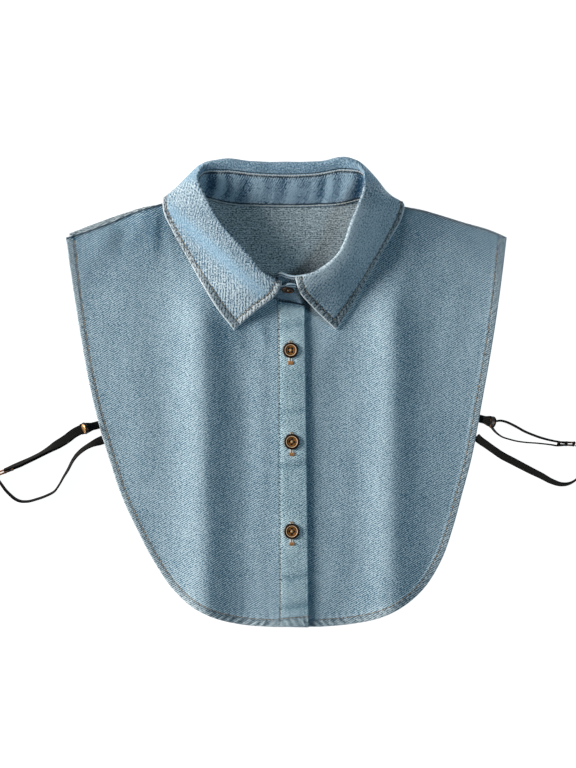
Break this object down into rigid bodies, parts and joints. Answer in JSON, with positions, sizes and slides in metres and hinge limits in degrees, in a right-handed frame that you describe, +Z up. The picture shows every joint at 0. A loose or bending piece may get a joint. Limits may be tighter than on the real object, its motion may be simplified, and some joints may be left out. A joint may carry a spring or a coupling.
{
  "type": "detachable shirt collar",
  "caption": "Light denim false collar with button placket, pointed turn-down collar, round hem and side strap loops, laid flat.",
  "frame": {"origin": "centre of the cloth's box on the surface it lies on", "axes": "+X to the viewer's right across the garment, +Y from the hem to the collar, +Z up from the surface"},
  "size_m": [0.4586, 0.3655, 0.028],
  "materials": {
    "denim": "washed light-blue denim",
    "denim_wrong_side": "wrong side of the denim, greyer",
    "button": "brown horn-like button",
    "elastic": "black flat elastic",
    "hardware": "dark bronze, worn"
  },
  "bodies": {
    "root": {"back_panel": "denim_wrong_side", "front_left": "denim", "front_right": "denim", "placket": "denim", "collar_stand": "denim", "collar_fall": "denim", "button_stand": "button", "button_1": "button", "button_2": "button", "button_3": "button", "strap_tab_left": "elastic", "strap_run_left": "elastic", "strap_return_left": "elastic", "strap_long_left": "elastic", "strap_ring_left": "hardware", "strap_slider_left": "hardware", "strap_tab_right": "elastic", "strap_run_right": "elastic", "strap_return_right": "elastic", "strap_long_right": "elastic", "strap_ring_right": "hardware", "strap_slider_right": "hardware"}
  },
  "joints": []
}
